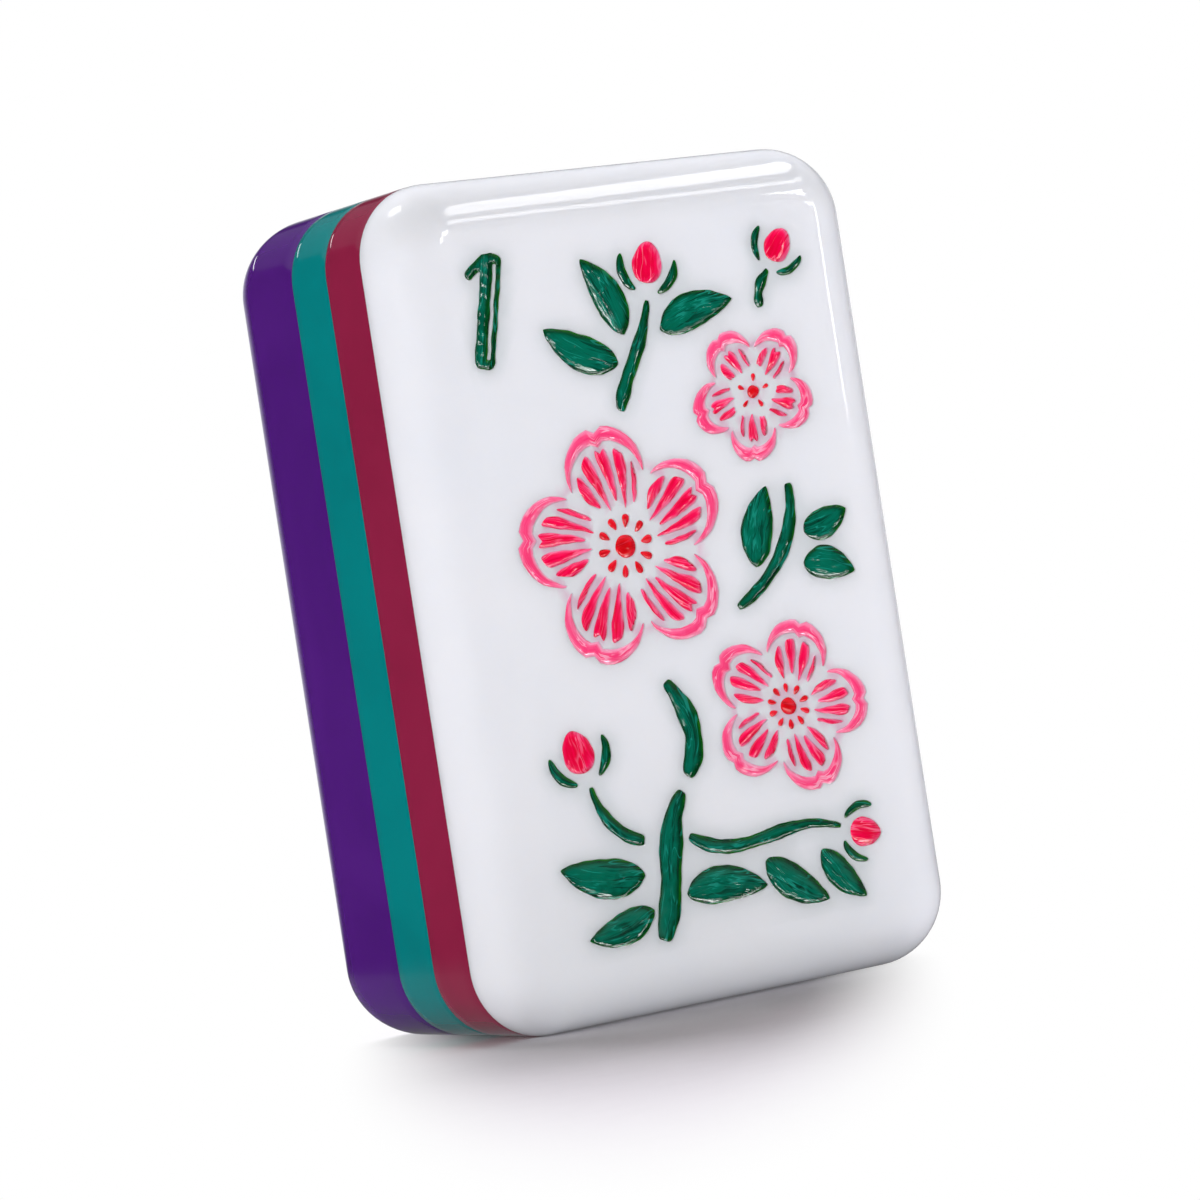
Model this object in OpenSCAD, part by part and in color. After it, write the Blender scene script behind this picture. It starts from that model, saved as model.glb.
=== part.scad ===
/* [Tile] */
// Width of the tile, left to right
tile_w = 19.4; // [19:0.1:26]
// Height of the tile, bottom end to top end
tile_h = 30; // [29.6:0.1:40]
// Radius of the four corners, seen from the front
corner_r = 2.7; // [2.4:0.1:3.6]

/* [Layers] */
// Thickness of the white face block
face_t = 2.45; // [2.4:0.05:5]
// Thickness of the burgundy layer
burgundy_t = 2.65; // [1:0.05:4]
// Thickness of the teal layer
teal_t = 2.65; // [1:0.05:4]
// Thickness of the purple back block
back_t = 5.45; // [4:0.05:8]

/* [Edges] */
// Radius of the rounding round the front face
front_edge_r = 2.4; // [1.2:0.1:2.4]
// How far the rounding of the back reaches down the tile's sides
back_edge_deep = 2.4; // [1.8:0.1:3.6]
// How far the rounding of the back reaches in over the back face
back_edge_in = 1.2; // [1:0.05:1.5]
// Radius of the tighter arc where that rounding meets the back face
back_lip_r = 0.8; // [0.4:0.05:0.9]

/* [Engraving] */
// Depth of the engraved pockets
pocket_depth = 0.4; // [0.25:0.05:0.6]
// How far the enamel lies below the face
enamel_drop = 0.06; // [0.02:0.01:0.12]
// Height of the engraved picture
picture_h = 25; // [22:0.5:25]
// Width of the white ridges left inside a petal
ridge_w = 0.17; // [0.13:0.01:0.22]
// Width of the pale rim round a petal
rim_w = 0.55; // [0.45:0.01:0.6]

/* [Numeral] */
// Height of the numeral
numeral_h = 4.1; // [3:0.1:4.4]
// Width of the numeral's upright
upright_w = 0.8; // [0.7:0.05:1]
// Radius of the upright's corners
upright_corner_r = 0.3; // [0.15:0.01:0.33]
// How far the flag reaches left of the upright
flag_reach = 0.62; // [0.4:0.02:0.8]
// How far the flag drops on its way there
flag_fall = 0.72; // [0.5:0.02:0.9]
// Width of the flag
flag_w = 0.34; // [0.24:0.01:0.4]
// Width of the bare line inside the upright
inline_w = 0.13; // [0.1:0.01:0.16]
// Width of the thin stroke to the right of the bare line
thin_stroke_w = 0.2; // [0.16:0.01:0.24]
// How far the bare line stops short of the upright's ends
inline_stop = 0.36; // [0.3:0.02:0.6]
// Lean of the numeral to the right, in degrees
numeral_lean = 14; // [0:1:18]
// Distance from the tile's left edge to the top of the upright's left side
numeral_inset_x = 3.5; // [3.3:0.1:5]
// Distance from the tile's top edge down to the top of the numeral
numeral_inset_z = 2.75; // [2.6:0.05:4]

/* [Hidden] */
$fn = 96;
leaf_green = [0, 0.31, 0.18];
hot_pink = [0.97, 0.2, 0.42];
pale_pink = [0.94, 0.62, 0.74];
heart_red = [0.86, 0.03, 0.13];

// depths are measured from the front face: the tile stands on its bottom end,
// the front face looks along -Y and the origin is under the middle of the tile
tile_d = face_t + burgundy_t + teal_t + back_t;
burgundy_from = face_t;
teal_from = burgundy_from + burgundy_t;
back_from = teal_from + teal_t;
front_r = min(front_edge_r, corner_r, face_t);
// all cuts run past the solid by this much
overrun = 0.5;

// the rounding of the back is two arcs that meet on one tangent:
// a tight lip arc at the back face and a slow arc that runs into the side
slow_arc_r = (pow(back_edge_in, 2) + pow(back_edge_deep - back_lip_r, 2) - pow(back_lip_r, 2))
    / (2 * (back_edge_in - back_lip_r));
slow_arc_centre = [slow_arc_r, back_edge_deep];
lip_arc_centre = [back_edge_in, back_lip_r];
arcs_line = lip_arc_centre - slow_arc_centre;
arcs_way = arcs_line / norm(arcs_line);

// The picture is drawn as shares of its height, from the middle of the face.
large_place_shares = [-0.092, 0.058];
large_r_share = 0.173;
large_tilt = 8;
large_squash = 1;
large_strokes = 5;
large_dots = 10;

middle_place_shares = [0.134, -0.202];
middle_r_share = 0.137;
middle_tilt = -20;
middle_squash = 0.92;
middle_strokes = 4;
middle_dots = 10;

small_place_shares = [0.156, 0.248];
small_r_share = 0.108;
small_tilt = 30;
small_squash = 0.9;
small_strokes = 3;
small_dots = 5;

// a route is four control points, then the widths at its two ends
trunk_shares = [
    [[[-0.128, -0.495], [-0.088, -0.415], [-0.108, -0.35], [-0.062, -0.294]], 0.04, 0.034],
    [[[-0.05, -0.274], [-0.012, -0.226], [-0.034, -0.18], [-0.062, -0.138]], 0.034, 0.028]];
twig_shares = [
    [[[-0.066, 0.246], [-0.05, 0.3], [-0.012, 0.33], [0.004, 0.396]], 0.026, 0.016],
    [[[0.076, -0.052], [0.13, -0.03], [0.196, 0.03], [0.19, 0.112]], 0.018, 0.024],
    [[[-0.062, -0.357], [0.02, -0.42], [0.1, -0.344], [0.19, -0.384]], 0.024, 0.015],
    [[[-0.134, -0.352], [-0.165, -0.345], [-0.198, -0.318], [-0.207, -0.266]], 0.022, 0.015],
    [[[0.19, 0.366], [0.186, 0.386], [0.196, 0.404], [0.212, 0.418]], 0.018, 0.014]];

// a leaf is its stalk end, direction, length, half width and bend
lower_leaf_shares = [
    [[-0.142, -0.4], 168, 0.136, 0.028, 0.008],
    [[-0.136, -0.45], 193, 0.112, 0.023, 0.006],
    [[-0.08, -0.436], -4, 0.134, 0.026, 0.008],
    [[0.056, -0.412], -36, 0.12, 0.025, -0.006],
    [[0.152, -0.412], -50, 0.1, 0.021, -0.005]];
side_leaf_shares = [
    [[0.196, -0.004], -14, 0.088, 0.024, 0.006],
    [[0.204, 0.04], 18, 0.082, 0.022, -0.004],
    [[0.116, 0.0], 72, 0.118, 0.026, 0.006]];
upper_leaf_shares = [
    [[-0.058, 0.312], 152, 0.128, 0.026, 0.008],
    [[-0.04, 0.352], 116, 0.124, 0.025, -0.008],
    [[0.018, 0.352], 14, 0.13, 0.026, 0.008]];

// a bud is the foot of its drop, its direction and its size
bud_shares = [
    [[0.008, 0.42], 78, 0.03],
    [[0.22, 0.432], 52, 0.026],
    [[0.206, -0.392], -14, 0.026],
    [[-0.212, -0.244], 104, 0.031]];

// how many points or steps each kind of outline has
rim_steps = 9;
stroke_points = 14;
leaf_points = 20;
strip_steps = 10;
dot_points = 10;
heart_points = 15;
sepal_points = 15;

// a petal: its half angle, the angle where its edge would close, how round and how notched the edge is
petals = 5;
petal_spread = 33;
petal_reach = 41;
petal_round_power = 0.34;
notch_share = 0.05;
notch_power = 8;
notch_angle_factor = 10;
rim_taper_power = 0.4;

// the fan of strokes in a petal: half angle, swirl, and where along the stroke it is widest
strokes_spread = 32;
stroke_swirl = 5;
stroke_full_power = 0.4;
stroke_outward_power = 0.62;
stroke_gap_share = 1.3;
short_start_share = 0.37;
long_start_share = 0.31;

// the heart and its ring of dots, as shares of the blossom's radius
heart_share = 0.095;
dot_place_share = 0.205;
dot_long_share = 0.055;
dot_wide_share = 0.03;
dot_swell_share = 0.4;

// a leaf's pointed ends and its fuller stalk half
leaf_point_power = 1.4;
leaf_full_share = 0.25;

// a strip's knots and blunt ends
knot_share = 0.1;
knot_turn = 720;
blunt_power = 0.22;

// a bud's drop and its sepals, as shares of the bud's size
drop_foot_share = 0.98;
drop_wide_share = 0.8;
drop_narrow_share = 0.2;
sepal_seat_share = 1.02;
sepal_wide_share = 0.24;
sepal_middle = 62;
sepal_reach = 38;

function polar(r, a) = r * [cos(a), sin(a)];
function turned(p, a) = [p[0] * cos(a) - p[1] * sin(a), p[0] * sin(a) + p[1] * cos(a)];
function spun(outline, a) = [for (p = outline) turned(p, a)];
// the outline squashed across, turned and moved to its place
function placed(outline, at, tilt, squash = 1) = [for (p = outline) at + turned([p[0], p[1] * squash], tilt)];
function bulged(s, power) = sign(s) * pow(abs(s), power);

// how far a petal reaches from the blossom's middle at angle a off its own line
function petal_edge(r, a) = r * pow(max(0, cos(a * 90 / petal_reach)), petal_round_power)
    * (1 - notch_share * pow(max(0, cos(notch_angle_factor * a)), notch_power));

// a crescent along the petal's edge, full in the middle and thin at both ends
function rim_outline(r) = concat(
    [for (i = [0:rim_steps]) let (a = petal_spread * (2 * i / rim_steps - 1)) polar(petal_edge(r, a), a)],
    [for (i = [rim_steps - 1:-1:1]) let (a = petal_spread * (2 * i / rim_steps - 1))
        polar(petal_edge(r, a) - rim_w * pow(cos(a * 90 / petal_spread), rim_taper_power), a)]);

// one stroke of the fan inside a petal, narrow at the heart and wide under the rim
function stroke_outline(r, a, half, start) = [for (i = [0:stroke_points - 1])
    let (t = 360 * i / stroke_points,
        side = bulged(sin(t), stroke_full_power),
        end = petal_edge(r, a + half * side) - rim_w - stroke_gap_share * ridge_w,
        u = pow((1 + cos(t)) / 2, stroke_outward_power),
        q = start + (end - start) * u)
    polar(q, a + (half - asin(ridge_w / 2 / q)) * side + stroke_swirl * (u - 1))];

function petal_rims(r) = [for (k = [0:petals - 1]) spun(rim_outline(r), 90 + 360 * k / petals)];
function petal_strokes(r, n) = let (step = 2 * strokes_spread / n) [for (k = [0:petals - 1]) for (j = [0:n - 1])
    spun(stroke_outline(r, (j + 0.5) * step - strokes_spread, step / 2,
        r * (j % 2 == 0 ? short_start_share : long_start_share)), 90 + 360 * k / petals)];
function heart(r, n) = concat(
    [[for (i = [0:heart_points - 1]) polar(heart_share * r, 360 * i / heart_points)]],
    [for (k = [0:n - 1]) spun([for (i = [0:dot_points - 1]) let (t = 360 * i / dot_points)
        r * [dot_place_share + dot_long_share * cos(t), dot_wide_share * sin(t) * (1 + dot_swell_share * cos(t))]],
        90 + 360 * (k + 0.5) / n)]);
function all_placed(outlines, at, tilt, squash) = [for (c = outlines) placed(c, at, tilt, squash)];

// a pointed leaf from its stalk end, fuller near the stalk and bent to one side
function leaf_outline(row) = let (h = picture_h, l = row[2] * h, w = row[3] * h, bend = row[4] * h)
    placed([for (i = [0:leaf_points - 1]) let (t = 360 * i / leaf_points, s = sin(t))
        [l / 2 * (1 + cos(t)), w * bulged(s, leaf_point_power) * (1 - leaf_full_share * cos(t)) + bend * s * s]],
        row[0] * h, row[1]);

// a strip along a cubic curve, slightly knotted, with blunt ends
function along(p, u) = pow(1 - u, 3) * p[0] + 3 * u * pow(1 - u, 2) * p[1]
    + 3 * u * u * (1 - u) * p[2] + pow(u, 3) * p[3];
function heading(p, u) = pow(1 - u, 2) * (p[1] - p[0]) + 2 * u * (1 - u) * (p[2] - p[1]) + u * u * (p[3] - p[2]);
function across(p, u) = let (d = heading(p, u)) [-d[1], d[0]] / norm(d);
function half_width(row, u) = (row[1] + (row[2] - row[1]) * u) / 2
    * (1 + knot_share * sin(knot_turn * u)) * pow(max(0, sin(180 * u)), blunt_power);
function strip_outline(row) = let (p = row[0])
    picture_h * concat(
        [for (i = [0:strip_steps]) let (u = (1 - cos(180 * i / strip_steps)) / 2)
            along(p, u) + across(p, u) * half_width(row, u)],
        [for (i = [strip_steps - 1:-1:1]) let (u = (1 - cos(180 * i / strip_steps)) / 2)
            along(p, u) - across(p, u) * half_width(row, u)]);

// a bud: its round drop, and two sepals that hold the drop's foot
function bud_outline(row) = let (r = row[2] * picture_h)
    placed([for (i = [0:leaf_points - 1]) let (t = 360 * i / leaf_points)
        r * [drop_foot_share + cos(t), drop_wide_share * sin(t) * (1 - drop_narrow_share * cos(t))]],
        row[0] * picture_h, row[1]);
function sepal_outline(row, side) = let (r = row[2] * picture_h)
    placed([for (i = [0:sepal_points - 1])
        let (t = 360 * i / sepal_points, a = sepal_middle + sepal_reach * cos(t),
            out = sepal_seat_share * r + ridge_w + sepal_wide_share * r * (1 + sin(t)))
        [drop_foot_share * r, 0] + polar(out, 180 - side * a)],
        row[0] * picture_h, row[1]);

function at_large(outlines) = all_placed(outlines, large_place_shares * picture_h, large_tilt, large_squash);
function at_middle(outlines) = all_placed(outlines, middle_place_shares * picture_h, middle_tilt, middle_squash);
function at_small(outlines) = all_placed(outlines, small_place_shares * picture_h, small_tilt, small_squash);
large_r = large_r_share * picture_h;
middle_r = middle_r_share * picture_h;
small_r = small_r_share * picture_h;

large_rims = at_large(petal_rims(large_r));
large_fans = at_large(petal_strokes(large_r, large_strokes));
large_heart = at_large(heart(large_r, large_dots));
middle_rims = at_middle(petal_rims(middle_r));
middle_fans = at_middle(petal_strokes(middle_r, middle_strokes));
middle_heart = at_middle(heart(middle_r, middle_dots));
small_rims = at_small(petal_rims(small_r));
small_fans = at_small(petal_strokes(small_r, small_strokes));
small_heart = at_small(heart(small_r, small_dots));
trunk = [for (row = trunk_shares) strip_outline(row)];
twigs = [for (row = twig_shares) strip_outline(row)];
lower_leaves = [for (row = lower_leaf_shares) leaf_outline(row)];
side_leaves = [for (row = side_leaf_shares) leaf_outline(row)];
upper_leaves = [for (row = upper_leaf_shares) leaf_outline(row)];
buds = [for (row = bud_shares) bud_outline(row)];
bud_cups = [for (row = bud_shares) for (side = [-1, 1]) sepal_outline(row, side)];
picture = concat(large_rims, large_fans, large_heart, middle_rims, middle_fans, middle_heart,
    small_rims, small_fans, small_heart, trunk, twigs, lower_leaves, side_leaves, upper_leaves, buds, bud_cups);

// Solids. A flat drawing of the face has x to the right and z up.

// turns a drawing into a plate between two depths behind the face
module plate(from, to) translate([0, to - tile_d / 2, tile_h / 2]) rotate([90, 0, 0]) linear_extrude(to - from)
    children();

// the front view of the tile: a rectangle with four round corners
module tile_outline() {
    square([tile_w - 2 * corner_r, tile_h], center = true);
    square([tile_w, tile_h - 2 * corner_r], center = true);
    for (x = [-1, 1]) for (z = [-1, 1])
        translate([x * (tile_w / 2 - corner_r), z * (tile_h / 2 - corner_r)]) circle(corner_r);
}

// what the front rounding takes off a section's corner
module front_corner_cut() difference() {
    translate([-overrun, -overrun]) square(front_r + overrun);
    translate([front_r, front_r]) circle(front_r);
}

// what the back rounding takes off a section's corner, one wedge for each of its two arcs
module back_corner_cut() {
    outer = lip_arc_centre + back_edge_deep * arcs_way;
    difference() {
        polygon([lip_arc_centre, [back_edge_in, -overrun], outer]);
        translate(lip_arc_centre) circle(back_lip_r);
    }
    difference() {
        polygon([slow_arc_centre, outer, [-overrun, back_edge_deep]]);
        translate(slow_arc_centre) circle(slow_arc_r);
    }
}

// a section across the tile, w wide, drawn from the rounded face at y = 0 inwards
module rounded_section(w, t) difference() {
    translate([-w / 2, 0]) square([w, t]);
    for (side = [0, 1]) mirror([side, 0]) translate([-w / 2, 0]) children();
}

// a block with every edge of one face rounded: two crossed extrusions and four turned corners.
// Its children are the cut that the rounding makes in a section.
module rounded_block(t) {
    linear_extrude(tile_h - 2 * corner_r, center = true) rounded_section(tile_w, t) children();
    rotate([0, -90, 0]) linear_extrude(tile_w - 2 * corner_r, center = true)
        rounded_section(tile_h, t) children();
    for (x = [-1, 1]) for (z = [-1, 1])
        translate([x * (tile_w / 2 - corner_r), 0, z * (tile_h / 2 - corner_r)])
            rotate([-90, 0, 0]) rotate_extrude() intersection() {
                rounded_section(2 * corner_r, t) children();
                square([corner_r, t]);
            }
}

module numeral_outline() {
    top_left = [numeral_inset_x - tile_w / 2, tile_h / 2 - numeral_inset_z];
    inner_x = upright_w - thin_stroke_w - inline_w / 2;
    inner_low = inline_stop + inline_w / 2 - numeral_h;
    inner_high = -inline_stop - inline_w / 2;
    flag_from = [flag_w / 2, -flag_w / 2];
    flag_run = [-flag_reach, -flag_fall];
    translate(top_left) rotate(-numeral_lean) difference() {
        union() {
            rounded_bar([0, -numeral_h], [upright_w, numeral_h], upright_corner_r);
            stroke_bar(flag_from, flag_from + flag_run, flag_w);
        }
        stroke_bar([inner_x, inner_low], [inner_x, inner_high], inline_w);
    }
}

// a rectangle with round corners, from its lower left corner
module rounded_bar(at, size, r) translate(at) {
    translate([r, 0]) square([size[0] - 2 * r, size[1]]);
    translate([0, r]) square([size[0], size[1] - 2 * r]);
    for (x = [r, size[0] - r]) for (y = [r, size[1] - r]) translate([x, y]) circle(r);
}

// a straight stroke of width w with round ends
module stroke_bar(from, to, w) {
    run = to - from;
    translate(from) rotate(atan2(run[1], run[0])) translate([0, -w / 2]) square([norm(run), w]);
    for (p = [from, to]) translate(p) circle(w / 2);
}

module pockets() {
    plate(-overrun, pocket_depth) numeral_outline();
    for (outline = picture) plate(-overrun, pocket_depth) polygon(outline);
}

// enamel fills its pocket from the floor to a little below the face
module enamel(outlines) for (outline = outlines) plate(enamel_drop, pocket_depth) polygon(outline);

module face_block() color("white") difference() {
    translate([0, -tile_d / 2, tile_h / 2]) rounded_block(face_t) front_corner_cut();
    pockets();
}
module burgundy_layer() color([0.55, 0.12, 0.25]) plate(burgundy_from, teal_from) tile_outline();
module teal_layer() color([0, 0.48, 0.5]) plate(teal_from, back_from) tile_outline();
module back_block() color([0.3, 0.1, 0.46]) translate([0, tile_d / 2, tile_h / 2]) rotate([180, 0, 0])
    rounded_block(back_t) back_corner_cut();
module numeral_enamel() color(leaf_green) plate(enamel_drop, pocket_depth) numeral_outline();
module trunk_enamel() color(leaf_green) enamel(trunk);
module twigs_enamel() color(leaf_green) enamel(twigs);
module lower_leaves_enamel() color(leaf_green) enamel(lower_leaves);
module side_leaves_enamel() color(leaf_green) enamel(side_leaves);
module upper_leaves_enamel() color(leaf_green) enamel(upper_leaves);
module large_petal_rims() color(pale_pink) enamel(large_rims);
module large_petal_strokes() color(hot_pink) enamel(large_fans);
module large_blossom_heart() color(heart_red) enamel(large_heart);
module middle_petal_rims() color(pale_pink) enamel(middle_rims);
module middle_petal_strokes() color(hot_pink) enamel(middle_fans);
module middle_blossom_heart() color(heart_red) enamel(middle_heart);
module small_petal_rims() color(pale_pink) enamel(small_rims);
module small_petal_strokes() color(hot_pink) enamel(small_fans);
module small_blossom_heart() color(heart_red) enamel(small_heart);
module buds_enamel() color(hot_pink) enamel(buds);
module bud_cups_enamel() color(leaf_green) enamel(bud_cups);

face_block();
burgundy_layer();
teal_layer();
back_block();
numeral_enamel();
trunk_enamel();
twigs_enamel();
lower_leaves_enamel();
side_leaves_enamel();
upper_leaves_enamel();
large_petal_rims();
large_petal_strokes();
large_blossom_heart();
middle_petal_rims();
middle_petal_strokes();
middle_blossom_heart();
small_petal_rims();
small_petal_strokes();
small_blossom_heart();
buds_enamel();
bud_cups_enamel();
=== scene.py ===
"""Looks of an upright laminated mahjong tile with an engraved and enamelled face.

The tile stands on z = 0 and its face looks along -Y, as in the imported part. Objects are in metres.
The engraving is worked out in millimetres on the face's own drawing, x to the right and z up from
the middle of the face, and depths are counted in millimetres back from the face.
"""

import math

import bpy
import numpy as np
from mathutils import Matrix, Vector
from mathutils.geometry import delaunay_2d_cdt


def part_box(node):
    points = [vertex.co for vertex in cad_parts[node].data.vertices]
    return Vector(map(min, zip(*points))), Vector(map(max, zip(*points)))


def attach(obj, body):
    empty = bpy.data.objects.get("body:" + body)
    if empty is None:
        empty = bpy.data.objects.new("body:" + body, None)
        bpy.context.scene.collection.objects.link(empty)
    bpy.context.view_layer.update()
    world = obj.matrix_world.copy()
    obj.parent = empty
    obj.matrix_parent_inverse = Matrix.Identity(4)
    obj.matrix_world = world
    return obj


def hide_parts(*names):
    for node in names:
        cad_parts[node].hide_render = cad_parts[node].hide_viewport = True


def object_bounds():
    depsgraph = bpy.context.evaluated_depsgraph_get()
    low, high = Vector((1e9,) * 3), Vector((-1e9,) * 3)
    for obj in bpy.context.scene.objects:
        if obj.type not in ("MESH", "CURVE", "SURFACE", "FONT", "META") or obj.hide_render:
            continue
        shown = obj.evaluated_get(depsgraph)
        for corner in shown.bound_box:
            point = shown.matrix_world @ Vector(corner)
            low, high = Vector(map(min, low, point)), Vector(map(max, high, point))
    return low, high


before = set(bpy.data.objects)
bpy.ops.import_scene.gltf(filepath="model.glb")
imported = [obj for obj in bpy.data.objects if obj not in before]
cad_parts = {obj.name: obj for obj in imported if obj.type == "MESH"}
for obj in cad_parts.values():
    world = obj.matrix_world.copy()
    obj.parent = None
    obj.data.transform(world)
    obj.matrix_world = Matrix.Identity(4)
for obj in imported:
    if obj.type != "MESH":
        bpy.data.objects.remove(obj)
cad_low, cad_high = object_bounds()

MM = 0.001

# Sizes of the tile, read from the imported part, in millimetres
face_low, face_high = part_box("face_block")
tile_w = (cad_high.x - cad_low.x) / MM
tile_h = (cad_high.z - cad_low.z) / MM
tile_d = (cad_high.y - cad_low.y) / MM
face_t = (face_high.y - face_low.y) / MM
burgundy_from = (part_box("burgundy_layer")[0].y - cad_low.y) / MM
teal_from = (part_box("teal_layer")[0].y - cad_low.y) / MM
back_from = (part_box("back_block")[0].y - cad_low.y) / MM
pocket_depth = (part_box("trunk_enamel")[1].y - cad_low.y) / MM

# Roundings of the tile
corner_r = 2.7
front_edge_r = 2.4
back_edge_deep = 2.4
back_edge_in = 1.2
back_lip_r = 0.8
bond_edge_r = 0.02

# Steps round the tile's outline: in each corner, and on each long and short side
corner_steps = 16
long_side_steps = 24
short_side_steps = 14
rounding_steps = 18

# The engraving
picture_h = 25.0
ridge_w = 0.17
lip_r = 0.04
flat_margin = 0.008
enamel_edge_depth = 0.045
sheet_point_gap = 0.36

# A petal, with its angles in degrees to each side of its line
petal_half_angle = 41
petal_fullness = 0.34
notch_share = 0.05
rim_half_angle = 33
rim_w = 0.55
fan_half_angle = 32
stroke_swirl = 5

# A blossom's heart, its ring of dots and where its even and odd strokes start, as shares of its radius
heart_share = 0.095
dot_ring = 0.205
dot_half_length = 0.055
dot_half_width = 0.03
stroke_starts = (0.37, 0.31)

# The engraver's unsteady hand, the enamel's pooling, how far the pink's colour creeps into the face,
# how far the painted grey shade round the green cells reaches, and how far the brush marks of one cell
# lie from those of the next
broad_waver = 0.011
fine_waver = 0.007
hollow_share = 0.42
full_ripple_half_width = 0.2
thick_at = 0.24
pink_creep = 0.2
green_shade_reach = 0.5
brush_shift = (6.3, 2.1)


def paint(red, green, blue):
    """A colour written in screen values from 0 to 255, as the linear colour that a shader takes."""
    screen = np.array([red, green, blue]) / 255
    linear = np.where(screen <= 0.04045, screen / 12.92, ((screen + 0.055) / 1.055) ** 2.4)
    return (*linear.tolist(), 1.0)


def in_scene(name, data):
    """A new object that shows its data, linked into the scene."""
    thing = bpy.data.objects.new(name, data)
    bpy.context.scene.collection.objects.link(thing)
    return thing


# Camera

def photograph_camera():
    """The photograph's pinhole view: a bearing, a height angle and a roll round the tile's middle, in
    radians, and places in millimetres."""
    bearing = -0.5289
    height_angle = 0.0050
    roll = -0.1541
    distance = 171.62
    aside = 0.2011
    above = -0.2864
    focal_length_px = 4713.9
    photograph_px = 1200
    sensor_mm = 36.0
    back = Vector((math.sin(bearing) * math.cos(height_angle),
                   -math.cos(bearing) * math.cos(height_angle),
                   math.sin(height_angle)))
    level_right = (-back).cross(Vector((0, 0, 1))).normalized()
    level_up = level_right.cross(-back)
    right = math.cos(roll) * level_right + math.sin(roll) * level_up
    up = -math.sin(roll) * level_right + math.cos(roll) * level_up
    place = back * distance + right * aside + up * above + Vector((0, 0, tile_h / 2))
    data = bpy.data.cameras.new("photograph_camera")
    data.sensor_width = sensor_mm
    data.lens = focal_length_px / photograph_px * sensor_mm
    data.clip_start = 0.01
    data.clip_end = 50
    camera = in_scene("photograph_camera", data)
    turn = Matrix((right, up, back)).transposed()
    camera.matrix_world = Matrix.Translation(place * MM) @ turn.to_4x4()
    bpy.context.scene.camera = camera


photograph_camera()


# Engraved cells. A cell is a surface of two parameters: t runs from 0 to 180 degrees between its
# two ends, and v from -1 to 1 between its two edges, so its outline is where v is -1 or 1.

def drawing(x, z):
    """Places on the face's drawing, with x and z in a last axis."""
    return np.stack([x, z], axis=-1)


def polar(radius, degrees):
    """Places at a radius and an angle."""
    angle = np.radians(degrees)
    return drawing(radius * np.cos(angle), radius * np.sin(angle))


def placed(points, at, tilt, squash=1.0):
    """The points with z scaled by squash, turned by tilt degrees and moved to a place."""
    cos = math.cos(math.radians(tilt))
    sin = math.sin(math.radians(tilt))
    x = points[..., 0]
    z = points[..., 1] * squash
    return drawing(x * cos - z * sin, x * sin + z * cos) + np.array(at)


def cell_parameters(steps_along, steps_across):
    """t in equal steps, and v as the sine of equal steps, so that rows crowd towards both edges."""
    t = np.linspace(0, np.pi, steps_along + 1)
    v = np.sin(np.linspace(-np.pi / 2, np.pi / 2, steps_across + 1))
    return np.meshgrid(t, v, indexing="ij")


def petal_edge(radius, degrees):
    """Reach of a petal: radius times the cosine, stretched to end at the half angle, to the petal's
    fullness, less a narrow notch at its middle."""
    open_angle = np.clip(np.cos(np.radians(degrees * 90 / petal_half_angle)), 0, None)
    notch = np.clip(np.cos(np.radians(10 * degrees)), 0, None) ** 8
    return radius * open_angle ** petal_fullness * (1 - notch_share * notch)


def petal_rim(radius, turn):
    """A crescent inside the petal's edge: the edge's radius, less up to rim_w that shrinks to
    nothing at the rim's half angle to either side of the petal's line."""
    t, v = cell_parameters(26, 8)
    degrees = rim_half_angle * np.cos(t)
    width = rim_w * np.clip(np.cos(np.pi / 2 * np.cos(t)), 0, None) ** 0.4
    return polar(petal_edge(radius, degrees) - width * (1 + v) / 2, degrees + turn)


def petal_stroke(radius, line, half_angle, start, turn):
    """One stroke of a petal's fan. Out from start, the radius goes as ((1 + cos t) / 2) to the 0.62
    of the way to the rim. Across, the angle is the line plus the half angle times v and (sin t) to
    the 0.4, and it swirls back a little towards the heart."""
    t, v = cell_parameters(34, 12)
    side = v * np.sin(t) ** 0.4
    end = petal_edge(radius, line + half_angle * side) - rim_w - 1.3 * ridge_w
    out = ((1 + np.cos(t)) / 2) ** 0.62
    reach = start + (end - start) * out
    half_ridge = np.degrees(np.arcsin(ridge_w / 2 / reach))
    return polar(reach, line + (half_angle - half_ridge) * side + stroke_swirl * (out - 1) + turn)


def round_heart(radius):
    """A disc: x is its radius times cos t, and z is its radius times sin t and v."""
    t, v = cell_parameters(24, 16)
    return heart_share * radius * drawing(np.cos(t), np.sin(t) * v)


def heart_dot(radius, turn):
    """A drop on the ring round the heart: its x goes as cos t along the half length, and its z as
    sin t and v across the half width, fuller at its outer end."""
    t, v = cell_parameters(18, 8)
    x = radius * (dot_ring + dot_half_length * np.cos(t))
    z = radius * dot_half_width * np.sin(t) * (1 + 0.4 * np.cos(t)) * v
    return placed(drawing(x, z), (0, 0), turn)


def leaf(stalk, direction, length, width, bend):
    """A pointed leaf: x goes as (1 + cos t) / 2 of its length, z as v times its half width and
    (sin t) to the 1.4, fuller at the stalk, and the whole bends to one side as (sin t) squared."""
    t, v = cell_parameters(44, 18)
    x = length / 2 * (1 + np.cos(t))
    z = width * np.sin(t) ** 1.4 * (1 - 0.25 * np.cos(t)) * v + bend * np.sin(t) ** 2
    return placed(picture_h * drawing(x, z), picture_h * np.array(stalk), direction)


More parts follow.
